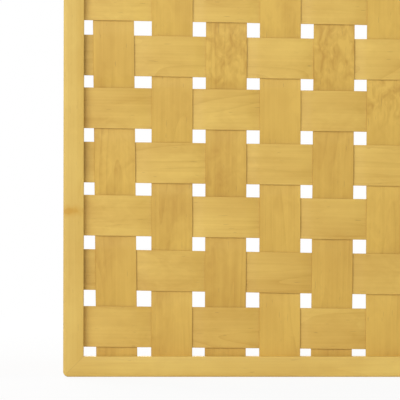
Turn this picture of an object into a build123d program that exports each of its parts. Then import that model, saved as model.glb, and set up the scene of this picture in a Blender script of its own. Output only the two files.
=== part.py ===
"""Folding screen of two panels: plywood strips woven in mitred wooden frames.

Each panel is drawn in its own frame: x runs across the panel, y towards its back, z up.
The panels stand in a shallow V, with their backs turned to each other and their hinges behind.
"""

import os
from math import cos, radians, sin

from build123d import *

os.makedirs("parts", exist_ok=True)

# Weave: sizes and spacing of the strips, mm
columns = 6
rows = 24
strip_width = 50.0
strip_thickness = 1.5
strip_gap = 16.0  # clear gap between two neighbouring strips
outer_strip_gap = 18.5  # the same gap beside the outermost strip on each side
stile_gap = 13.5  # between a stile and the nearest upright strip
rail_gap = 10.5  # between a rail and the nearest cross strip
crossing_margin = 2.0  # how far a strip stays flat past the edge of the one it crosses

# Frame: battens mitred at the corners and grooved for the strip ends, mm
frame_face = 25.0
frame_depth = 22.0
frame_corner_radius = 6.5
frame_edge_ease = 1.2
groove_depth = 8.0
strip_end_gap = 1.0  # left between a strip's end and the bottom of the groove
key_end_gap = 2.0  # left between a corner key and the strip beside it

# Hinges: three-knuckle butt hinges let into the edges of the stiles, mm
standing_angle = 120.0  # between the backs of the panels as the screen stands, degrees
hinge_height = 60.0
hinge_end_distance = 180.0  # from the end of a stile to the middle of the nearest hinge
leaf_width = 15.0
leaf_thickness = 1.5
mortise_depth = 1.0
closed_leaf_gap = 0.4
knuckle_radius = 3.0
knuckle_gap = 0.3
knuckle_face_gap = 0.5  # between the knuckles and the backs of the panels
pin_radius = 1.5
pin_clearance = 0.05

# Sizes worked out from the ones above
groove_width = 2 * strip_thickness
panel_gap = 2 * (leaf_thickness - mortise_depth) + closed_leaf_gap
knuckle_length = (hinge_height - 2 * knuckle_gap) / 3
hinge_reach = frame_depth / 2 + knuckle_face_gap + knuckle_radius


def opening_size(count, edge_gap):
    """Clear opening of the frame that holds this many strips side by side."""
    inner_gaps = 2 * outer_strip_gap + (count - 3) * strip_gap
    return 2 * edge_gap + count * strip_width + inner_gaps


panel_width = opening_size(columns, stile_gap) + 2 * frame_face
panel_height = opening_size(rows, rail_gap) + 2 * frame_face
hinge_places = {
    "lower": hinge_end_distance,
    "middle": panel_height / 2,
    "upper": panel_height - hinge_end_distance,
}


def strip_centres(count, first):
    """Centre lines of the strips, counted from the first one."""
    centres = [first]
    for index in range(1, count):
        gap = outer_strip_gap if index in (1, count - 1) else strip_gap
        centres.append(centres[-1] + strip_width + gap)
    return centres


column_centres = strip_centres(columns, frame_face + stile_gap + strip_width / 2 - panel_width / 2)
row_centres = strip_centres(rows, frame_face + rail_gap + strip_width / 2)


# Planes of a panel

def upright_plane(centre, turn):
    """The panel's own frame: bottom centre of its thickness, turned about the vertical."""
    return Plane(centre, x_dir=(cos(radians(turn)), sin(radians(turn)), 0), z_dir=(0, 0, 1))


def elevation(panel):
    """Mid plane of the panel: sketch x across, sketch y up, normal to the front."""
    return Plane(panel.origin, x_dir=panel.x_dir, z_dir=-panel.y_dir)


def plan(panel, height):
    """Level plane: sketch x across, sketch y to the back."""
    return panel.offset(height)


def cross_section(panel, across):
    """Plane square to the width: sketch x up, sketch y to the front."""
    return Plane(panel.origin + panel.x_dir * across, x_dir=panel.z_dir, z_dir=panel.x_dir)


def hinge_axis(hinged_side):
    """Where the hinges' axis lies on a panel that is hinged on its left (-1) or right (1) edge."""
    return hinged_side * (panel_width + panel_gap) / 2, hinge_reach


def standing_panel(hinged_side):
    """Frame of a panel that stands at its half of the fold, with the hinges' axis at x = 0."""
    turn = -hinged_side * (90 - standing_angle / 2)
    axis_point = upright_plane((0, 0, 0), turn).from_local_coords((*hinge_axis(hinged_side), 0))
    return upright_plane((-axis_point.X, 0, 0), turn)


# Edge that each panel is hinged on
hinged_sides = {"left": 1, "right": -1}


def write(piece, name):
    piece.part.label = name
    export_step(piece.part, f"parts/{name}.step")


# Woven strips

def weave_outline(crossings, first_end, last_end, first_level):
    """Side view of a strip that passes the crossings on alternate sides of the mid plane.

    It lies flat on every strip it crosses, and slopes from one side to the other between them.
    """
    half_flat = strip_width / 2 + crossing_margin
    centre_line = []
    for index, centre in enumerate(crossings):
        level = first_level * (-1) ** index * strip_thickness / 2
        start = first_end if index == 0 else centre - half_flat
        end = last_end if index == len(crossings) - 1 else centre + half_flat
        centre_line += [(start, level), (end, level)]
    upper = [(along, level + strip_thickness / 2) for along, level in centre_line]
    lower = [(along, level - strip_thickness / 2) for along, level in reversed(centre_line)]
    return upper + lower


def upright_strip(panel, column):
    """One strip from rail to rail. The first, third and so on pass behind the lowest cross strip."""
    reach = groove_depth - strip_end_gap
    first_level = -1 if column % 2 == 0 else 1
    ends = frame_face - reach, panel_height - frame_face + reach
    with BuildPart() as strip:
        with BuildSketch(cross_section(panel, column_centres[column])):
            with BuildLine():
                Polyline(*weave_outline(row_centres, *ends, first_level), close=True)
            make_face()
        extrude(amount=strip_width / 2, both=True)
    return strip


def cross_strips(panel, strip_rows):
    """Strips from stile to stile that weave alike, because they lie an even number of rows apart."""
    end = panel_width / 2 - frame_face + groove_depth - strip_end_gap
    first_level = -1 if strip_rows[0] % 2 == 0 else 1
    with BuildPart() as strips:
        with BuildSketch(*[plan(panel, row_centres[row]) for row in strip_rows]):
            with BuildLine():
                Polyline(*weave_outline(column_centres, -end, end, first_level), close=True)
            make_face()
        extrude(amount=strip_width / 2, both=True)
    return strips


def cross_strip_pairs():
    """The rows two by two, each with the next one that weaves like it."""
    firsts = [row for row in range(rows) if row % 4 < 2]
    return [[row for row in (first, first + 2) if row < rows] for first in firsts]


# Frame

def corner_keys(panel):
    """Angle-shaped plywood keys that lie in the groove across the four mitres."""
    outer_across = panel_width / 2 - frame_face + groove_depth
    outer_down = frame_face - groove_depth
    cross_leg = groove_depth + stile_gap - key_end_gap
    upright_leg = groove_depth + rail_gap - key_end_gap
    corners = [(side, end) for side in (-1, 1) for end in (-1, 1)]
    with BuildPart() as keys:
        with BuildSketch(elevation(panel)):
            for side, end in corners:
                corner_height = outer_down if end < 0 else panel_height - outer_down
                inward = (Align.MIN if side < 0 else Align.MAX, Align.MIN if end < 0 else Align.MAX)
                with Locations((side * outer_across, corner_height)):
                    Rectangle(cross_leg, groove_depth, align=inward)
                    Rectangle(groove_depth, upright_leg, align=inward)
        extrude(amount=groove_width / 2, both=True)
    return keys


def hinge_mortises(panel, hinged_side):
    """Shallow housings for the leaves in the hinged edge."""
    with BuildPart() as mortises:
        with BuildSketch(*[plan(panel, height) for height in hinge_places.values()]):
            with Locations((hinged_side * panel_width / 2, (frame_depth - leaf_width) / 2)):
                Rectangle(2 * mortise_depth, leaf_width)
        extrude(amount=hinge_height / 2, both=True)
    return mortises


def frame_blank(panel, mortises):
    """The whole frame before it is cut at the mitres."""
    middle_height = panel_height / 2
    opening_width = panel_width - 2 * frame_face
    opening_height = panel_height - 2 * frame_face
    with BuildPart() as blank:
        with BuildSketch(elevation(panel)):
            with Locations((0, middle_height)):
                RectangleRounded(panel_width, panel_height, frame_corner_radius)
                Rectangle(opening_width, opening_height, mode=Mode.SUBTRACT)
        extrude(amount=frame_depth / 2, both=True)
        through = blank.faces().sort_by(Axis(panel.origin, panel.y_dir))
        chamfer(through[0].edges() + through[-1].edges(), length=frame_edge_ease)
        with BuildSketch(elevation(panel)):
            with Locations((0, middle_height)):
                Rectangle(opening_width + 2 * groove_depth, opening_height + 2 * groove_depth)
        extrude(amount=groove_width / 2, both=True, mode=Mode.SUBTRACT)
        add(mortises.part, mode=Mode.SUBTRACT)
    return blank


def frame_member(panel, blank, corners):
    """The stretch of the frame that lies within these four corners of its two mitres."""
    with BuildPart() as member:
        add(blank.part)
        with BuildSketch(elevation(panel)):
            with BuildLine():
                Polyline(*corners, close=True)
            make_face()
        extrude(amount=frame_depth, both=True, mode=Mode.INTERSECT)
    return member


def frame_corners():
    """Corners of each member, two outside and two inside, round the frame."""
    outer = panel_width / 2
    inner = outer - frame_face
    top = panel_height
    low = frame_face
    high = panel_height - frame_face
    return {
        "left_stile": [(-outer, 0), (-inner, low), (-inner, high), (-outer, top)],
        "right_stile": [(outer, 0), (inner, low), (inner, high), (outer, top)],
        "bottom_rail": [(-outer, 0), (-inner, low), (inner, low), (outer, 0)],
        "top_rail": [(-outer, top), (-inner, high), (inner, high), (outer, top)],
    }


# Hinges

def hinge_leaf(panel, hinged_side, height):
    """A plate in the stile's edge, and the knuckles that it carries behind the panel.

    The left panel's leaf has the two end knuckles, and the right panel's leaf the middle one.
    """
    step = knuckle_length + knuckle_gap
    knuckle_heights = (height - step, height + step) if hinged_side == 1 else (height,)
    plate_middle = hinged_side * (panel_width / 2 - mortise_depth + leaf_thickness / 2)
    neck = hinge_reach - frame_depth / 2
    with BuildPart() as leaf:
        with BuildSketch(plan(panel, height)):
            with Locations((plate_middle, (frame_depth - leaf_width) / 2)):
                Rectangle(leaf_thickness, leaf_width)
        extrude(amount=hinge_height / 2, both=True)
        with BuildSketch(*[plan(panel, knuckle) for knuckle in knuckle_heights]):
            with Locations((plate_middle, (frame_depth + neck) / 2)):
                Rectangle(leaf_thickness, neck)
            with Locations(hinge_axis(hinged_side)):
                Circle(knuckle_radius)
                Circle(pin_radius + pin_clearance, mode=Mode.SUBTRACT)
        extrude(amount=knuckle_length / 2, both=True)
    return leaf


def hinge_pin(panel, hinged_side, height):
    with BuildPart() as pin:
        with BuildSketch(plan(panel, height)):
            with Locations(hinge_axis(hinged_side)):
                Circle(pin_radius)
        extrude(amount=hinge_height / 2, both=True)
    return pin


for name, hinged_side in hinged_sides.items():
    panel = standing_panel(hinged_side)
    for column in range(columns):
        write(upright_strip(panel, column), f"{name}_upright_strip_{column + 1}")
    for pair in cross_strip_pairs():
        numbers = "_".join(str(row + 1) for row in pair)
        write(cross_strips(panel, pair), f"{name}_cross_strips_{numbers}")

    write(corner_keys(panel), f"{name}_corner_keys")
    blank = frame_blank(panel, hinge_mortises(panel, hinged_side))
    for member_name, corners in frame_corners().items():
        write(frame_member(panel, blank, corners), f"{name}_panel_{member_name}")

    for place, height in hinge_places.items():
        write(hinge_leaf(panel, hinged_side, height), f"{place}_hinge_{name}_leaf")
        if name == "left":
            write(hinge_pin(panel, hinged_side, height), f"{place}_hinge_pin")
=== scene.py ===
"""Looks of the woven plywood folding screen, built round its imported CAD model."""

import math
import random

import bmesh
import bpy
from mathutils import Matrix, Vector


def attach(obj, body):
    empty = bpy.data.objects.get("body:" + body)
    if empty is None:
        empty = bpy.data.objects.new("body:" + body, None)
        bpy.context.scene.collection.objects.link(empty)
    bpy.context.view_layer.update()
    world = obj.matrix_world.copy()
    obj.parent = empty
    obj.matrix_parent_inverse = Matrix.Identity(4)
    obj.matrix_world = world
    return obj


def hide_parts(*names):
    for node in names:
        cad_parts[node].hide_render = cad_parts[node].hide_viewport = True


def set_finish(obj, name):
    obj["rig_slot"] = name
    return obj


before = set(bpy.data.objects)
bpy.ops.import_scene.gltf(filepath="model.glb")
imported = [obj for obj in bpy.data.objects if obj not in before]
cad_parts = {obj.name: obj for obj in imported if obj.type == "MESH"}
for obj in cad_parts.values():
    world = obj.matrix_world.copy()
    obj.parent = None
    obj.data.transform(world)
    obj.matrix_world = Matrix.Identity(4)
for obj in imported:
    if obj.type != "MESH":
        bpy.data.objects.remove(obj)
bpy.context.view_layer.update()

MM = 0.001

# Sizes of the CAD model, mm
COLUMNS = 6
ROWS = 24
STRIP_WIDTH = 50.0
STRIP_THICKNESS = 1.5
STRIP_GAP = 16.0
OUTER_STRIP_GAP = 18.5
STILE_GAP = 13.5
RAIL_GAP = 10.5
STRIP_REACH = 7.0
FRAME_FACE = 25.0
FRAME_DEPTH = 22.0
CORNER_RADIUS = 6.5
GROOVE_DEPTH = 8.0
GROOVE_WIDTH = 3.0
PANEL_WIDTH = 462.0
PANEL_HEIGHT = 1644.0
PANEL_ORIGIN = 207.90809
PANEL_TURN = math.radians(30)
HINGE_HEIGHTS = {"lower": 180.0, "middle": 822.0, "upper": 1464.0}
HINGE_HEIGHT = 60.0
LEAF_WIDTH = 15.0
LEAF_THICKNESS = 1.5
MORTISE_DEPTH = 1.0

# Keys number the pieces of wood: each one takes its grain from a stretch of its own
PANELS = {
    "left": {
        "origin": -PANEL_ORIGIN, "turn": -PANEL_TURN, "hinge_side": 1,
        "stray_seed": 11, "tone_seed": 5, "strip_key": 0, "batten_key": 150,
    },
    "right": {
        "origin": PANEL_ORIGIN, "turn": PANEL_TURN, "hinge_side": -1,
        "stray_seed": 29, "tone_seed": 17, "strip_key": 70, "batten_key": 160,
    },
}
KEY_STEP = 2300.0


def panel_matrix(panel):
    """From the panel's own millimetres (x across, y to the back, z up) to the row frame in metres."""
    facts = PANELS[panel]
    return (
        Matrix.Translation((facts["origin"] * MM, 0, 0))
        @ Matrix.Rotation(facts["turn"], 4, "Z")
        @ Matrix.Scale(MM, 4)
    )


def strip_centres(count, first):
    """Regular centre lines. The gaps next to the outer strips are wider."""
    centres = [first]
    for index in range(1, count):
        gap = OUTER_STRIP_GAP if index in (1, count - 1) else STRIP_GAP
        centres.append(centres[-1] + STRIP_WIDTH + gap)
    return centres


COLUMN_CENTRES = strip_centres(COLUMNS, FRAME_FACE + STILE_GAP + STRIP_WIDTH / 2 - PANEL_WIDTH / 2)
ROW_CENTRES = strip_centres(ROWS, FRAME_FACE + RAIL_GAP + STRIP_WIDTH / 2)


# Hand-laid strips: how far each one strays sideways from its nominal centre line, mm

STRAY_LIMIT = 3.6
SHIFT_SPREAD = 0.45
LEAN_SPREAD = 0.5
WAVE_HEIGHTS = (0.15, 0.45)
WAVE_PHASES = (0, 6.28)
WAVE_LENGTHS = (380, 620)
WAVE_TURN = 6.283

# The strips in the photograph: shift at the middle of the stretch that it shows, and lean over SEEN_LENGTH
SEEN_UPRIGHTS = [(-0.4, -2.3), (1.0, 0.1), (1.2, 0.5), (1.7, 0.2), (0.7, 1.5), (-1.5, 0.6)]
SEEN_CROSS_STRIPS = [
    (-0.5, -1.7), (-0.4, -3.1), (0.5, -2.9), (0.2, -2.1), (0.6, -2.3), (-1.3, -3.1), (0.5, -3.1),
]
SEEN_LENGTH = 200
SEEN_HEIGHT = 240.0
SEEN_ACROSS = 200.0 - PANEL_WIDTH / 2

# Above the photograph's edge the uprights pass over to strays of their own
FADE_FROM, FADE_TO = 480.0, 760.0


def smooth(low, high, value):
    """A share that passes from 0 to 1 between the two values."""
    share = min(1.0, max(0.0, (value - low) / (high - low)))
    return share * share * (3 - 2 * share)


def soft_limit(value):
    """The stray, kept within the limit that the gaps between the strips leave."""
    return value / (1 + abs(value / STRAY_LIMIT) ** 6) ** (1 / 6)


def make_stray(rng, length, seen=None, middle=0.0, upright=False):
    """A function that gives a strip's stray at any place along it."""
    shift, lean = rng.gauss(0, SHIFT_SPREAD), rng.gauss(0, LEAN_SPREAD)
    wave, phase = rng.uniform(*WAVE_HEIGHTS), rng.uniform(*WAVE_PHASES)
    period = rng.uniform(*WAVE_LENGTHS)

    def stray(along):
        loose = shift + lean * along / length * 2 + wave * math.sin(along / period * WAVE_TURN + phase)
        if seen is None:
            return soft_limit(loose)
        given = seen[0] + seen[1] * (along - middle) / SEEN_LENGTH
        if upright:
            fade = smooth(FADE_FROM, FADE_TO, along)
            return soft_limit(given * (1 - fade) + loose * fade)
        return soft_limit(given)

    return stray


def panel_strays(panel):
    """The strays of a panel's uprights and of its cross strips. The photograph shows the left panel."""
    rng = random.Random(PANELS[panel]["stray_seed"])
    seen_uprights = dict(enumerate(SEEN_UPRIGHTS if panel == "left" else []))
    seen_crosses = dict(enumerate(SEEN_CROSS_STRIPS if panel == "left" else []))
    uprights = [
        make_stray(rng, PANEL_HEIGHT, seen_uprights.get(column), SEEN_HEIGHT, upright=True)
        for column in range(COLUMNS)
    ]
    crosses = [make_stray(rng, PANEL_WIDTH, seen_crosses.get(row), SEEN_ACROSS) for row in range(ROWS)]
    return uprights, crosses


STRAYS = {panel: panel_strays(panel) for panel in PANELS}


# Meshes

SAME_PLACE = 1e-7


def join_rings(faces, base, rings, count):
    """Faces between rings of points that follow each other."""
    for ring in range(rings - 1):
        for k in range(count):
            a, b = base + ring * count + k, base + ring * count + (k + 1) % count
            faces.append((a, b, b + count, a + count))


def new_piece(name, verts, faces, grain, tone, matrix, joint=None):
    """A mesh object for its material: each point knows its place in the wood, its tone and how far a joint is."""
    mesh = bpy.data.meshes.new(name)
    mesh.from_pydata(verts, [], faces)
    mesh.transform(matrix)
    attribute = mesh.attributes.new("grain", "FLOAT_VECTOR", "POINT")
    attribute.data.foreach_set("vector", [v * MM for point in grain for v in point])
    attribute = mesh.attributes.new("tone", "FLOAT", "POINT")
    attribute.data.foreach_set("value", tone)
    if joint is not None:
        attribute = mesh.attributes.new("joint", "FLOAT", "POINT")
        attribute.data.foreach_set("value", joint)
    piece = bpy.data.objects.new(name, mesh)
    bpy.context.scene.collection.objects.link(piece)
    return piece


def finish_mesh(piece, angle):
    """Outward normals, no doubled points, and smooth shading except across edges sharper than the angle."""
    bm = bmesh.new()
    bm.from_mesh(piece.data)
    bmesh.ops.remove_doubles(bm, verts=bm.verts, dist=SAME_PLACE)
    bmesh.ops.dissolve_degenerate(bm, dist=SAME_PLACE, edges=bm.edges)
    bmesh.ops.recalc_face_normals(bm, faces=bm.faces)
    bm.to_mesh(piece.data)
    bm.free()
    for face in piece.data.polygons:
        face.use_smooth = True
    piece.data.set_sharp_from_angle(angle=math.radians(angle))


# Strips, mm. Levels are those of a strip's middle, in front of the panel's mid plane or behind it
VISUAL_THICKNESS = 1.46
UPRIGHT_WIDTH = 50.4
ARRIS = 0.22
EDGE_LEVEL = 0.74  # over the edge of a strip that it crosses
BOW = 0.38  # further out over that strip's middle
END_LEVEL = 0.62  # in the frame's groove
EXTRA_DROP = 0.2  # makes a strip leave the crossing a little more steeply than it arches over it
CROSSING_STEPS = 5
GAP_STEPS = 5
END_STEPS = 4
SLOPE_STEP = 0.5
STRIP_EDGE_ANGLE = 25


def strip_profile(width):
    """Section of a strip: across, through. Its arrises are just broken."""
    w, h, c = width / 2, VISUAL_THICKNESS / 2, ARRIS
    return [
        (-w + c, h), (-w * 0.5, h), (0, h), (w * 0.5, h), (w - c, h), (w, h - c), (w, -h + c),
        (w - c, -h), (w * 0.5, -h), (0, -h), (-w * 0.5, -h), (-w + c, -h), (-w, -h + c), (-w, h - c),
    ]


def strip_stations(crossings, start, end):
    """Places along the strip where it gets a ring of points: close together where it bends."""
    half = STRIP_WIDTH / 2
    places = {start, end}
    for centre in crossings:
        places.update(centre + half * step / CROSSING_STEPS for step in range(-CROSSING_STEPS, CROSSING_STEPS + 1))
    for near, far in zip(crossings, crossings[1:]):
        low, high = near + half, far - half
        places.update(low + (high - low) * step / GAP_STEPS for step in range(1, GAP_STEPS))
    free_ends = (crossings[0] - half, start + STRIP_REACH), (crossings[-1] + half, end - STRIP_REACH)
    for outer, mouth in free_ends:
        places.update(outer + (mouth - outer) * step / END_STEPS for step in range(1, END_STEPS + 1))
    return sorted(place for place in places if start <= place <= end)


def curve(start, end, start_slope, end_slope, length, along):
    """The height, at a place along it, of a cubic from one level and slope to another."""
    t = min(1.0, max(0.0, along / length))
    return ((2 * t ** 3 - 3 * t ** 2 + 1) * start + (3 * t ** 2 - 2 * t ** 3) * end
            + ((t ** 3 - 2 * t ** 2 + t) * start_slope + (t ** 3 - t ** 2) * end_slope) * length)


def strip_level(crossings, first_level, ends, along):
    """How far in front of the panel's mid plane the strip's middle lies.

    The strip is springy: it arches over each strip that it crosses, and slopes through the mid plane between them.
    """
    half = STRIP_WIDTH / 2
    slope = (2 * BOW + EXTRA_DROP) / half
    nearest = min(range(len(crossings)), key=lambda index: abs(along - crossings[index]))
    side = first_level * (-1) ** nearest
    offset = along - crossings[nearest]
    if abs(offset) <= half:
        return side * (EDGE_LEVEL + BOW * (1 - (offset / half) ** 2))
    ahead = nearest + (1 if offset > 0 else -1)
    if 0 <= ahead < len(crossings):
        gap = abs(crossings[ahead] - crossings[nearest]) - 2 * half
        return side * curve(EDGE_LEVEL, -EDGE_LEVEL, -slope, -slope, gap, abs(offset) - half)
    free = abs((ends[1] if offset > 0 else ends[0]) - crossings[nearest]) - half - STRIP_REACH
    return side * curve(EDGE_LEVEL, END_LEVEL, -slope, 0, free, abs(offset) - half)


def add_strip(verts, faces, grain, tones, stray, crossings, ends, first_level, place, key, tone, width):
    """One strip, as rings of its section along a line that bends over and under."""
    profile = strip_profile(width)
    stations = strip_stations(crossings, *ends)
    base = len(verts)
    for along in stations:
        level = strip_level(crossings, first_level, ends, along)
        side = stray(along)
        slope = (strip_level(crossings, first_level, ends, along + SLOPE_STEP)
                 - strip_level(crossings, first_level, ends, along - SLOPE_STEP))
        for across, through in profile:
            verts.append(place(along - slope * through, side + across, level + through))
            grain.append((along + key * KEY_STEP, across, through))
            tones.append(tone)
    count = len(profile)
    join_rings(faces, base, len(stations), count)
    faces.append(tuple(base + k for k in reversed(range(count))))
    last = base + (len(stations) - 1) * count
    faces.append(tuple(last + k for k in range(count)))


def woven_strips(panel):
    """The uprights and the cross strips of one panel. Each piece replaces its CAD node."""
    uprights, crosses = STRAYS[panel]
    matrix = panel_matrix(panel)
    rng = random.Random(PANELS[panel]["tone_seed"])
    made = []
    key = PANELS[panel]["strip_key"]

    for column in range(COLUMNS):
        centre = COLUMN_CENTRES[column]
        crossings = [ROW_CENTRES[row] + crosses[row](centre) for row in range(ROWS)]
        ends = (FRAME_FACE - STRIP_REACH, PANEL_HEIGHT - FRAME_FACE + STRIP_REACH)
        first_level = -1 if column % 2 == 0 else 1
        parts = [], [], [], []
        add_strip(*parts, uprights[column], crossings, ends, first_level,
                  lambda along, side, front: (centre + side, -front, along), key, rng.gauss(0, 1),
                  UPRIGHT_WIDTH)
        key += 1
        piece = new_piece(f"{panel}_upright_{column + 1}_veneer", *parts, matrix)
        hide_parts(f"{panel}_upright_strip_{column + 1}")
        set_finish(piece, "upright_veneer")
        made.append(piece)

    half = PANEL_WIDTH / 2
    for first in [row for row in range(ROWS) if row % 4 < 2]:
        pair = [row for row in (first, first + 2) if row < ROWS]
        parts = [], [], [], []
        for row in pair:
            height = ROW_CENTRES[row]
            crossings = [COLUMN_CENTRES[c] + uprights[c](height) for c in range(COLUMNS)]
            ends = (-half + FRAME_FACE - STRIP_REACH, half - FRAME_FACE + STRIP_REACH)
            first_level = 1 if row % 2 == 0 else -1
            add_strip(*parts, crosses[row], crossings, ends, first_level,
                      lambda along, side, front: (along, -front, height + side), key, rng.gauss(0, 1),
                      STRIP_WIDTH)
            key += 1
        numbers = "_".join(str(row + 1) for row in pair)
        piece = new_piece(f"{panel}_cross_{numbers}_veneer", *parts, matrix)
        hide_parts(f"{panel}_cross_strips_{numbers}")
        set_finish(piece, "cross_veneer")
        made.append(piece)

    for piece in made:
        finish_mesh(piece, STRIP_EDGE_ANGLE)
        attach(piece, f"{panel}_panel")
    return made


# Frame members: mitred, grooved battens with rounded arrises, mm

OUTER_ROUND = 2.0
INNER_ROUND = 0.8
LEAF_FRONT = FRAME_DEPTH / 2 - LEAF_WIDTH
MITRE_REACH = 27.0
FAN_STEPS = 7
RING_SPACING = 40
CLEAR_OF_MORTISE = 3
FAR_FROM_JOINT = 2
BATTEN_EDGE_ANGLE = 32


def arc(centre, radius, start, end, steps=4):
    """Points along an arc. Angles in degrees."""
    angles = [math.radians(start + (end - start) * k / steps) for k in range(steps + 1)]
    return [(centre[0] + radius * math.cos(a), centre[1] + radius * math.sin(a)) for a in angles]


def member_profile():
    """Section of a batten: distance from the outer edge, and depth towards the back."""
    half, face, r, q = FRAME_DEPTH / 2, FRAME_FACE, OUTER_ROUND, INNER_ROUND
    groove, floor = GROOVE_WIDTH / 2, FRAME_FACE - GROOVE_DEPTH
    points = arc((r, -half + r), r, 180, 270)
    points += [(CORNER_RADIUS, -half), (face * 0.6, -half)]
    points += arc((face - q, -half + q), q, 270, 360, 3)
    points += [(face, -groove), (floor, -groove), (floor, groove), (face, groove)]
    points += arc((face - q, half - q), q, 0, 90, 3)
    points += [(face * 0.6, half), (CORNER_RADIUS, half)]
    points += arc((r, half - r), r, 90, 180)
    # The mortise's edge: two points in one place, of which the first sinks where a leaf is let in
    points += [(0, LEAF_FRONT), (0, LEAF_FRONT)]
    return points


def fan_place(distance, step):
    """Along and inward place of a point near the mitre. Step 0 is the mitre itself."""
    r = CORNER_RADIUS
    if distance < r:
        angle = math.radians(45 * (1 - step / (FAN_STEPS - 1)))
        return r - (r - distance) * math.sin(angle), r - (r - distance) * math.cos(angle)
    return distance + (MITRE_REACH - distance) * step / FAN_STEPS, distance


def frame_member(panel, member, key, tone):
    """One batten. Along it runs from one outer corner of the panel to the next."""
    upright = member.endswith("stile")
    length = PANEL_HEIGHT if upright else PANEL_WIDTH
    half = PANEL_WIDTH / 2
    hinged = (member == "right_stile" and panel == "left") or (member == "left_stile" and panel == "right")

    def place(along, inward, depth):
        if member == "left_stile":
            return (-half + inward, depth, along)
        if member == "right_stile":
            return (half - inward, depth, along)
        if member == "bottom_rail":
            return (along - half, depth, inward)
        return (along - half, depth, PANEL_HEIGHT - inward)

    # Rings of points: kind, step of the fan or place along, and whether the ring is cut back for a leaf
    profile = member_profile()
    count = len(profile)
    straight_length = length - 2 * MITRE_REACH
    pieces = math.ceil(straight_length / RING_SPACING)
    plain = [MITRE_REACH + straight_length * k / pieces for k in range(pieces + 1)]
    cuts = []
    if hinged:
        for height in HINGE_HEIGHTS.values():
            low, high = height - HINGE_HEIGHT / 2, height + HINGE_HEIGHT / 2
            plain = [along for along in plain if not low - CLEAR_OF_MORTISE < along < high + CLEAR_OF_MORTISE]
            cuts += [(low, False), (low, True), (high, True), (high, False)]
    straight = sorted([(along, False) for along in plain] + cuts, key=lambda ring: ring[0])
    rings = [("near", step, False) for step in range(FAN_STEPS)]
    rings += [("straight", along, cut) for along, cut in straight]
    rings += [("far", step, False) for step in reversed(range(FAN_STEPS))]

    verts, faces, grain, tones, joint = [], [], [], [], []
    for kind, value, cut in rings:
        for index, (distance, depth) in enumerate(profile):
            if kind == "straight":
                along, inward = value, distance
                if cut and depth >= LEAF_FRONT and index != count - 1:
                    inward = max(inward, MORTISE_DEPTH)
                joint.append(FAR_FROM_JOINT * MM)
            else:
                along, inward = fan_place(distance, value)
                joint.append(max(0.0, along - inward) * MM)
            if kind == "far":
                along = length - along
            verts.append(place(along, inward, depth))
            grain.append((along + key * KEY_STEP, inward - FRAME_FACE / 2, depth))
            tones.append(tone)
    join_rings(faces, 0, len(rings), count)
    faces.append(tuple(reversed(range(count))))
    last = (len(rings) - 1) * count
    faces.append(tuple(last + k for k in range(count)))
    piece = new_piece(f"{panel}_{member}_batten", verts, faces, grain, tones, panel_matrix(panel), joint)
    finish_mesh(piece, BATTEN_EDGE_ANGLE)
    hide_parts(f"{panel}_panel_{member}")
    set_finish(piece, "frame_wood")
    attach(piece, f"{panel}_panel")
    return piece


# Countersunk screws of the hinges, mm

SCREW_HEAD = 2.9
SCREW_SLOT = 0.7
SCREW_PROUD = 0.14
SCREW_RIM = 0.18
SLOT_FLOOR = 0.02
SLOT_FLARE = 0.4
# The tone that marks the slot's floor for painted shade, and the head's tone
SLOT_SHADE = 1.0
HEAD_TONE = 0.0
FLOOR_POINTS = 32
HALF_POINTS = 17
SCREW_DEPTH = 3.5
SCREW_HEIGHTS = (-19.0, 19.0)
SCREW_SEED = 21
SCREW_EDGE_ANGLE = 20
LEAF_FACE = PANEL_WIDTH / 2 + LEAF_THICKNESS - MORTISE_DEPTH


def add_head(verts, faces, tones, place, turn):
    """A slotted head: the slot's floor, marked for painted shade, and two raised halves with a broken rim."""
    def point(u, v, w):
        return place(u * math.cos(turn) - v * math.sin(turn), u * math.sin(turn) + v * math.cos(turn), w)

    base, count = len(verts), FLOOR_POINTS
    for k in range(count):
        a = 2 * math.pi * k / count
        verts.append(point(SCREW_HEAD * math.cos(a), SCREW_HEAD * math.sin(a), SLOT_FLOOR))
        tones.append(SLOT_SHADE)
    faces.append(tuple(base + k for k in range(count)))
    levels = ((0.0, 0.0), (0.0, SCREW_PROUD / 2), (SCREW_RIM, SCREW_PROUD))
    for side in (1, -1):
        base, count = len(verts), HALF_POINTS
        for inset, level in levels:
            radius, edge = SCREW_HEAD - inset, SCREW_SLOT / 2 + inset * SLOT_FLARE
            first = math.asin(edge / radius)
            for k in range(count):
                a = first + (math.pi - 2 * first) * k / (count - 1)
                verts.append(point(radius * math.cos(a), side * radius * math.sin(a), level))
                tones.append(HEAD_TONE)
        join_rings(faces, base, len(levels), count)
        last = base + (len(levels) - 1) * count
        faces.append(tuple(last + k for k in range(count)))


def hinge_screws(hinge, panel, rng):
    """The two screws of one leaf."""
    side = PANELS[panel]["hinge_side"]
    verts, faces, tones = [], [], []
    for height in SCREW_HEIGHTS:
        middle = HINGE_HEIGHTS[hinge] + height
        add_head(verts, faces, tones,
                 lambda u, v, w: (side * (LEAF_FACE + w), SCREW_DEPTH + u, middle + v), rng.uniform(0, math.pi))
    piece = new_piece(f"{hinge}_hinge_{panel}_screws", verts, faces, verts, tones, panel_matrix(panel))
    finish_mesh(piece, SCREW_EDGE_ANGLE)
    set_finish(piece, "brass")
    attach(piece, f"{panel}_panel")
    return piece


# Materials

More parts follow.
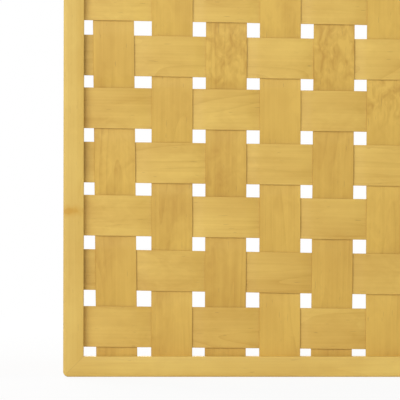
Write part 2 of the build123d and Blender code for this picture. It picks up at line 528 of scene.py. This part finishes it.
class Tree:
    """Short hand for a material's nodes."""

    def __init__(self, name):
        self.material = bpy.data.materials.new(name)
        self.material.use_nodes = True
        self.tree = self.material.node_tree
        self.tree.nodes.clear()

    def node(self, kind, inputs=None, **settings):
        made = self.tree.nodes.new(kind)
        for key, value in settings.items():
            setattr(made, key, value)
        for key, value in (inputs or {}).items():
            socket = made.inputs[key]
            if isinstance(value, bpy.types.NodeSocket):
                self.tree.links.new(value, socket)
            else:
                socket.default_value = value
        return made

    def math(self, operation, *values, clamp=False):
        made = self.node("ShaderNodeMath", dict(enumerate(values)), operation=operation, use_clamp=clamp)
        return made.outputs[0]

    def attribute(self, name, output):
        return self.node("ShaderNodeAttribute", attribute_name=name).outputs[output]

    def stretched(self, vector, along, across, through=None):
        """The vector times a scale for each of its axes, in features to a metre."""
        scale = (along, across, across if through is None else through)
        return self.node("ShaderNodeVectorMath", {0: vector, 1: scale}, operation="MULTIPLY").outputs[0]

    def swing(self, value, amount, middle=0.5):
        """The value about its middle, times an amount."""
        return self.math("MULTIPLY", self.math("SUBTRACT", value, middle), amount)

    def noise(self, vector, detail=2.0, roughness=0.5, distortion=0.0):
        made = self.node("ShaderNodeTexNoise", {"Vector": vector, "Scale": 1.0, "Detail": detail,
                                                "Roughness": roughness, "Distortion": distortion})
        return made.outputs[0]

    def ramp(self, value, low, high):
        made = self.node("ShaderNodeMapRange", {"Value": value, "From Min": low, "From Max": high},
                         interpolation_type="SMOOTHSTEP", clamp=True)
        return made.outputs[0]

    def mix(self, share, first, second, blend="MIX"):
        made = self.node("ShaderNodeMix", data_type="RGBA", blend_type=blend, clamp_factor=True)
        for index, value in ((0, share), (6, first), (7, second)):
            if isinstance(value, bpy.types.NodeSocket):
                self.tree.links.new(value, made.inputs[index])
            else:
                made.inputs[index].default_value = value if index == 0 else (*value, 1.0)
        return made.outputs[2]

    def output(self, shader):
        self.node("ShaderNodeOutputMaterial", {"Surface": shader})
        return self.material


# Patterns in the wood: features to a metre along and across the grain, then the noise's detail, roughness and
# distortion
PATTERNS = {
    "clouds": (9, 25, 2.0, 0.5, 0.0),
    "blotch": (48, 84, 2.0, 0.6, 0.7),
    "curly": (5.5, 9, 1.0, 0.5, 0.0),
    "feather": (52, 92, 2.5, 0.55, 1.0),
    "height": (2.4, 20, 1.4, 0.4, 0.3),
    "patch": (5.3, 12, 1.0, 0.5, 0.0),
    "fibre": (7, 520, 3.0, 0.6, 0.0),
    "streak": (2.4, 150, 2.0, 0.5, 0.0),
    "speck": (80, 760, 0.0, 0.5, 0.0),
}
CURLY_RANGE = (0.40, 0.64)
PATCH_RANGE = (0.45, 0.62)
FLECK_RANGE = (0.80, 0.87)
PLAIN_MOTTLE = 0.3
CURL_CORE = 0.35

# Shares of what makes the wood deeper in colour
CLOUD_SHARE = 1.35
FIBRE_SHARE = 0.5
STREAK_SHARE = 0.42
TONE_SHARE = 0.09
GROWTH_SHARE = 0.34
CURL_SHARE = 2.7
CURL_MIDDLE = 0.54
EVEN_DEPTH = 0.42
FLECK_SHARE = 0.35

GROWTH_LINES = 11.0
GROWTH_SHARPNESS = 4.0

# A knot is wider across the batten than along it. Radius in metres, and the rest in shares of it
KNOT_RADIUS = 0.0060
KNOT_SQUEEZE = (1.1, 0.55, 0)
KNOT_WOBBLE = 2.2
KNOT_HALO = (2.0, 0.4)
KNOT_CORE = (1.3, 0.4)
HALO_SHARE = 0.6
KNOT_TINT = (0.78, 0.60, 0.26)

# The strips' arrises, darkened as painted shade, and their cut sides, mm from the edge. The middle ply's share of
# the thickness
ARRIS_SHADE_FADE = (0.8, 0.2)
ARRIS_SHADE_SHARE = 0.12
CUT_FADE = (0.06, 0.01)
MIDDLE_PLY_FADE = (0.17, 0.20)
MIDDLE_PLY_TINT = 0.7
OUTER_PLY_TINT = 1.5

# The battens' open mitre lines, mm from the joint
SEAM_FADE = (0.32, 0.05)
SEAM_SHARE = 0.55

LACQUER_ROUGHNESS = 0.34
FIBRE_ROUGHNESS = 0.16
GROWTH_RELIEF = 0.4


def wood(name, pale, deep, line, figure=1.0, width=None, thickness=None, jointed=False, knots=(),
         mottle=0.5, curls=()):
    """Clear-lacquered birch: fine fibre, wavy growth lines, soft clouds, rare flecks, darker cut edges, and
    painted shade along the strips' arrises.

    Knots are given by their place along and across, curly stretches by their middle and their reach along, all in
    the metres of the grain.
    """
    t = Tree(name)
    grain = t.attribute("grain", "Vector")
    tone = t.attribute("tone", "Fac")
    apart = t.node("ShaderNodeSeparateXYZ", {0: grain})

    def pattern(kind):
        along, across, *settings = PATTERNS[kind]
        return t.noise(t.stretched(grain, along, across), *settings)

    blotch, fibre = pattern("blotch"), pattern("fibre")
    saw = t.math("FRACT", t.math("MULTIPLY", pattern("height"), GROWTH_LINES))
    growth = t.math("POWER", saw, GROWTH_SHARPNESS)
    growth = t.math("MULTIPLY", growth, t.ramp(pattern("patch"), *PATCH_RANGE))
    fleck = t.ramp(pattern("speck"), *FLECK_RANGE)

    depth = t.swing(pattern("clouds"), CLOUD_SHARE)
    curly = t.math("ADD", t.ramp(pattern("curly"), *CURLY_RANGE), PLAIN_MOTTLE)
    depth = t.math("ADD", depth, t.swing(blotch, t.math("MULTIPLY", curly, mottle)))
    if curls:
        curl = 0.0
        for along, reach in curls:
            gone = t.math("ABSOLUTE", t.math("SUBTRACT", apart.outputs[0], along))
            curl = t.math("MAXIMUM", curl, t.ramp(gone, reach, reach * CURL_CORE))
        curl = t.math("MULTIPLY", curl, CURL_SHARE)
        depth = t.math("ADD", depth, t.swing(pattern("feather"), curl, CURL_MIDDLE))
    depth = t.math("ADD", depth, t.swing(fibre, FIBRE_SHARE))
    depth = t.math("ADD", depth, t.swing(pattern("streak"), STREAK_SHARE))
    depth = t.math("ADD", depth, t.math("MULTIPLY", tone, TONE_SHARE))
    depth = t.math("ADD", depth, t.math("MULTIPLY", growth, GROWTH_SHARE * figure))
    depth = t.math("ADD", depth, EVEN_DEPTH, clamp=True)
    colour = t.mix(depth, pale, deep)
    colour = t.mix(t.math("MULTIPLY", fleck, FLECK_SHARE), colour, line)

    knot_colour = tuple(channel * tint for channel, tint in zip(pale, KNOT_TINT))
    for along, across in knots:
        away = t.node("ShaderNodeVectorMath", {0: grain, 1: (along, across, 0)}, operation="SUBTRACT").outputs[0]
        away = t.stretched(away, *KNOT_SQUEEZE)
        away = t.node("ShaderNodeVectorMath", {0: away}, operation="LENGTH").outputs[1]
        wavy = t.math("ADD", away, t.swing(blotch, KNOT_RADIUS * KNOT_WOBBLE))
        halo = t.math("MULTIPLY", t.ramp(wavy, *(KNOT_RADIUS * share for share in KNOT_HALO)), HALO_SHARE)
        core = t.ramp(wavy, *(KNOT_RADIUS * share for share in KNOT_CORE))
        colour = t.mix(t.math("MAXIMUM", halo, core), colour, knot_colour)
    if width is not None:
        side, through = (t.math("ABSOLUTE", apart.outputs[axis]) for axis in (1, 2))
        # Painted shade: a darker line along each strip's arrises, standing in for the shade where one strip meets
        # another
        arris_shade = t.ramp(side, *((width / 2 - inset) * MM for inset in ARRIS_SHADE_FADE))
        colour = t.mix(t.math("MULTIPLY", arris_shade, ARRIS_SHADE_SHARE), colour, line)
        outer_ply = t.ramp(through, *(thickness * share * MM for share in MIDDLE_PLY_FADE))
        plies = t.mix(outer_ply, *(tuple(c * tint for c in line) for tint in (MIDDLE_PLY_TINT, OUTER_PLY_TINT)))
        cut = t.ramp(side, *((width / 2 - inset) * MM for inset in CUT_FADE))
        colour = t.mix(cut, colour, plies)
    if jointed:
        seam = t.ramp(t.attribute("joint", "Fac"), *(reach * MM for reach in SEAM_FADE))
        colour = t.mix(t.math("MULTIPLY", seam, SEAM_SHARE), colour, line)

    rough = t.math("ADD", t.math("MULTIPLY", fibre, FIBRE_ROUGHNESS), LACQUER_ROUGHNESS)
    relief = t.math("ADD", fibre, t.math("MULTIPLY", growth, GROWTH_RELIEF))
    bump = t.node("ShaderNodeBump", {"Strength": 0.22, "Distance": 0.00008, "Height": relief})
    shader = t.node("ShaderNodeBsdfPrincipled", {
        "Base Color": colour, "Roughness": rough, "Normal": bump.outputs[0],
        "Specular IOR Level": 0.4, "Coat Weight": 0.15, "Coat Roughness": 0.3,
    })
    return t.output(shader.outputs[0])


# Patterns in the brass and in the keys' plywood, features to a metre
DRAWN_LINES = (2600, 2600, 120)
TARNISH_SPOTS = (140, 140, 90)
TARNISH_RANGE = (0.42, 0.72)
DRAWN_ROUGHNESS = 0.18
# Painted shade in the screws' slots: its share, and the darkened brass that it mixes towards
SLOT_SHADE_SHARE = 0.85
SLOT_SHADE_TINT = 0.2
PLY_LINES = (300, 300, 1400)


def metal(name, colour, dark, rough):
    """Satin metal with fine drawn lines, a little tarnish, and painted shade in the screws' slots."""
    t = Tree(name)
    place = t.node("ShaderNodeTexCoord").outputs["Object"]
    drawn = t.noise(t.stretched(place, *DRAWN_LINES), 2.0)
    tarnish = t.noise(t.stretched(place, *TARNISH_SPOTS), 3.0)
    base = t.mix(t.ramp(tarnish, *TARNISH_RANGE), colour, dark)
    # Painted shade: the slot floors, marked by the tone attribute, are darkened as if in shadow
    slot = t.math("MULTIPLY", t.attribute("tone", "Fac"), SLOT_SHADE_SHARE)
    base = t.mix(slot, base, tuple(c * SLOT_SHADE_TINT for c in dark))
    roughness = t.math("ADD", t.math("MULTIPLY", drawn, DRAWN_ROUGHNESS), rough)
    bump = t.node("ShaderNodeBump", {"Strength": 0.2, "Distance": 0.00005, "Height": drawn})
    shader = t.node("ShaderNodeBsdfPrincipled", {
        "Base Color": base, "Metallic": 1.0, "Roughness": roughness, "Normal": bump.outputs[0],
    })
    return t.output(shader.outputs[0])


def plywood_edge(name, pale, dark):
    """Bare plywood of the hidden keys."""
    t = Tree(name)
    place = t.node("ShaderNodeTexCoord").outputs["Object"]
    plies = t.noise(t.stretched(place, *PLY_LINES), 3.0)
    shader = t.node("ShaderNodeBsdfPrincipled", {"Base Color": t.mix(plies, pale, dark), "Roughness": 0.7})
    return t.output(shader.outputs[0])


BATTEN_TONES = {
    "left": {"left_stile": 1.0, "right_stile": -0.4, "top_rail": 0.5, "bottom_rail": -0.8},
    "right": {"left_stile": 0.3, "right_stile": -0.7, "top_rail": 0.9, "bottom_rail": 0.1},
}

# Marks in the wood, m: panel, which upright or batten, place along it, and reach along or place across
UPRIGHT_CURLS = [
    ("left", 2, 0.395, 0.055), ("left", 4, 0.40, 0.055), ("left", 5, 0.345, 0.045), ("left", 1, 1.05, 0.07),
    ("left", 3, 1.42, 0.06), ("right", 0, 0.62, 0.06), ("right", 2, 1.25, 0.07), ("right", 5, 0.90, 0.05),
]
BATTEN_KNOTS = [("left", 0, 0.203, -0.003), ("left", 0, 1.17, 0.002), ("right", 2, 0.31, 0.002)]


def in_grain(marks, first_key):
    """The marks' places in the grain, where each key's stretch follows the one before."""
    return [
        ((PANELS[panel][first_key] + number) * KEY_STEP * MM + along, other)
        for panel, number, along, other in marks
    ]


MATERIALS = {
    "cross_veneer": wood(
        "cross_veneer_lacquered",
        pale=(0.744, 0.504, 0.111), deep=(0.568, 0.333, 0.054), line=(0.30, 0.14, 0.03),
        width=STRIP_WIDTH, thickness=VISUAL_THICKNESS, mottle=0.75,
    ),
    "upright_veneer": wood(
        "upright_veneer_lacquered",
        pale=(0.695, 0.446, 0.082), deep=(0.517, 0.287, 0.039), line=(0.28, 0.13, 0.03),
        width=UPRIGHT_WIDTH, thickness=VISUAL_THICKNESS, mottle=0.9,
        curls=in_grain(UPRIGHT_CURLS, "strip_key"),
    ),
    "frame_wood": wood(
        "frame_wood_lacquered",
        pale=(0.755, 0.532, 0.128), deep=(0.602, 0.372, 0.070), line=(0.33, 0.17, 0.04),
        figure=0.6, jointed=True,
        knots=in_grain(BATTEN_KNOTS, "batten_key"),
    ),
    "key_plywood": plywood_edge("key_plywood_bare", pale=(0.62, 0.42, 0.18), dark=(0.45, 0.28, 0.11)),
    "brass": metal("brass_satin", colour=(0.78, 0.58, 0.26), dark=(0.52, 0.36, 0.14), rough=0.24),
}


def give(piece, slot):
    piece.data.materials.clear()
    piece.data.materials.append(MATERIALS[slot])


for panel in PANELS:
    for piece in woven_strips(panel):
        give(piece, piece["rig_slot"])
    for key, (member, tone) in enumerate(BATTEN_TONES[panel].items(), PANELS[panel]["batten_key"]):
        give(frame_member(panel, member, key, tone), "frame_wood")
screw_rng = random.Random(SCREW_SEED)
for hinge in HINGE_HEIGHTS:
    for panel in PANELS:
        give(hinge_screws(hinge, panel, screw_rng), "brass")
for name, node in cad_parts.items():
    if "corner_keys" in name:
        give(node, "key_plywood")
    elif "hinge" in name:
        give(node, "brass")


# Camera, nearly square to the left panel: mm and degrees in the panel's frame, as fitted to the photograph

CAMERA_ACROSS = 80.0 - PANEL_WIDTH / 2
CAMERA_AWAY = 4000.0
CAMERA_HEIGHT = 200.0
CAMERA_YAW = 1.252
CAMERA_PITCH = 0.238
CAMERA_ROLL = 0.079
PIXELS = 400
PIXELS_TO_A_MM = 0.81484
SENSOR_WIDTH = 36
CLIP_END = 100


def add_camera():
    yaw, pitch, roll = (math.radians(angle) for angle in (CAMERA_YAW, CAMERA_PITCH, CAMERA_ROLL))
    ahead = Vector((math.sin(yaw) * math.cos(pitch), math.cos(yaw) * math.cos(pitch), math.sin(pitch)))
    right = Vector((math.cos(yaw), -math.sin(yaw), 0))
    up = right.cross(ahead)
    right, up = right * math.cos(roll) + up * math.sin(roll), -right * math.sin(roll) + up * math.cos(roll)
    turn = Matrix.Rotation(PANELS["left"]["turn"], 3, "Z")
    camera = bpy.data.objects.new("camera", bpy.data.cameras.new("camera"))
    bpy.context.scene.collection.objects.link(camera)
    axes = [turn @ right, turn @ up, turn @ -ahead]
    matrix = Matrix([[axis[row] for axis in axes] for row in range(3)]).to_4x4()
    matrix.translation = panel_matrix("left") @ Vector((CAMERA_ACROSS, -CAMERA_AWAY, CAMERA_HEIGHT))
    camera.matrix_world = matrix
    camera.data.sensor_width = SENSOR_WIDTH
    camera.data.lens = SENSOR_WIDTH * PIXELS_TO_A_MM * CAMERA_AWAY / PIXELS
    camera.data.clip_end = CLIP_END
    bpy.context.scene.camera = camera


# Floor and light, m. The photograph's ground is pure white, so to the camera the floor and the world are too,
# except for a faint shade on the floor near the screen

FLOOR_SIZE = 60
FLOOR_COLOUR = (0.86, 0.86, 0.86, 1)
WHITE = (1, 1, 1, 1)
SHADE_FADE = (0.8, 2.4)
SHADE_SHARE = 0.11
WORLD_STRENGTH = 0.252
WORLD_SEEN = 1.0
KEY_WAY = (-0.55, -1.0, 0.42)
KEY_AWAY = 5.5
LIT_HEIGHT = 0.8


def add_floor():
    t = Tree("floor_pale")
    path = t.node("ShaderNodeLightPath")
    diffuse = t.node("ShaderNodeBsdfDiffuse", {"Color": FLOOR_COLOUR})
    white = t.node("ShaderNodeEmission", {"Color": WHITE, "Strength": 1.0})
    place = t.node("ShaderNodeTexCoord").outputs["Object"]
    away = t.ramp(t.node("ShaderNodeVectorMath", {0: place}, operation="LENGTH").outputs[1], *SHADE_FADE)
    seen = t.math("MAXIMUM", path.outputs["Is Camera Ray"], path.outputs["Is Glossy Ray"])
    share = t.math("MULTIPLY", seen, t.math("ADD", t.math("MULTIPLY", away, SHADE_SHARE), 1 - SHADE_SHARE))
    shader = t.node("ShaderNodeMixShader", {0: share, 1: diffuse.outputs[0], 2: white.outputs[0]})
    material = t.output(shader.outputs[0])
    bpy.ops.mesh.primitive_plane_add(size=FLOOR_SIZE)
    floor = bpy.context.object
    floor.name = "floor"
    floor.data.materials.append(material)


def add_lamp(name, place, target, size, power):
    """A disc of light that faces the target. Power in watts."""
    lamp = bpy.data.objects.new(name, bpy.data.lights.new(name, "AREA"))
    lamp.data.shape = "DISK"
    lamp.data.size = size
    lamp.data.energy = power
    lamp.location = place
    lamp.rotation_mode = "QUATERNION"
    lamp.rotation_quaternion = (Vector(place) - Vector(target)).to_track_quat("Z", "Y")
    bpy.context.scene.collection.objects.link(lamp)


def add_world():
    """White to camera, glossy and transmission rays, dimmer as a light."""
    world = bpy.data.worlds.new("studio")
    bpy.context.scene.world = world
    world.use_nodes = True
    tree = world.node_tree
    tree.nodes.clear()
    path = tree.nodes.new("ShaderNodeLightPath")
    seen = path.outputs["Is Camera Ray"]
    for kind in ("Is Glossy Ray", "Is Transmission Ray"):
        either = tree.nodes.new("ShaderNodeMath")
        either.operation = "MAXIMUM"
        tree.links.new(seen, either.inputs[0])
        tree.links.new(path.outputs[kind], either.inputs[1])
        seen = either.outputs[0]
    strength = tree.nodes.new("ShaderNodeMapRange")
    strength.inputs["To Min"].default_value = WORLD_STRENGTH
    strength.inputs["To Max"].default_value = WORLD_SEEN
    tree.links.new(seen, strength.inputs["Value"])
    background = tree.nodes.new("ShaderNodeBackground")
    background.inputs["Color"].default_value = WHITE
    tree.links.new(strength.outputs[0], background.inputs["Strength"])
    output = tree.nodes.new("ShaderNodeOutputWorld")
    tree.links.new(background.outputs[0], output.inputs["Surface"])


def add_lamps():
    """A large soft key light up to the left of the left panel, and two lamps for the right panel and the back."""
    middle = panel_matrix("left") @ Vector((0, 0, LIT_HEIGHT / MM))
    turn = Matrix.Rotation(PANELS["left"]["turn"], 3, "Z")
    key = middle + turn @ Vector(KEY_WAY).normalized() * KEY_AWAY
    add_lamp("key", place=key, target=middle, size=5.2, power=239)
    add_lamp("fill", place=(3.3, -1.9, 1.9), target=(0, 0, LIT_HEIGHT), size=1.8, power=62)
    add_lamp("back", place=(0.6, 3.4, 2.2), target=(0, 0, LIT_HEIGHT), size=2.4, power=105)


add_camera()
add_floor()
add_world()
add_lamps()
bpy.context.scene.view_settings.view_transform = "Standard"
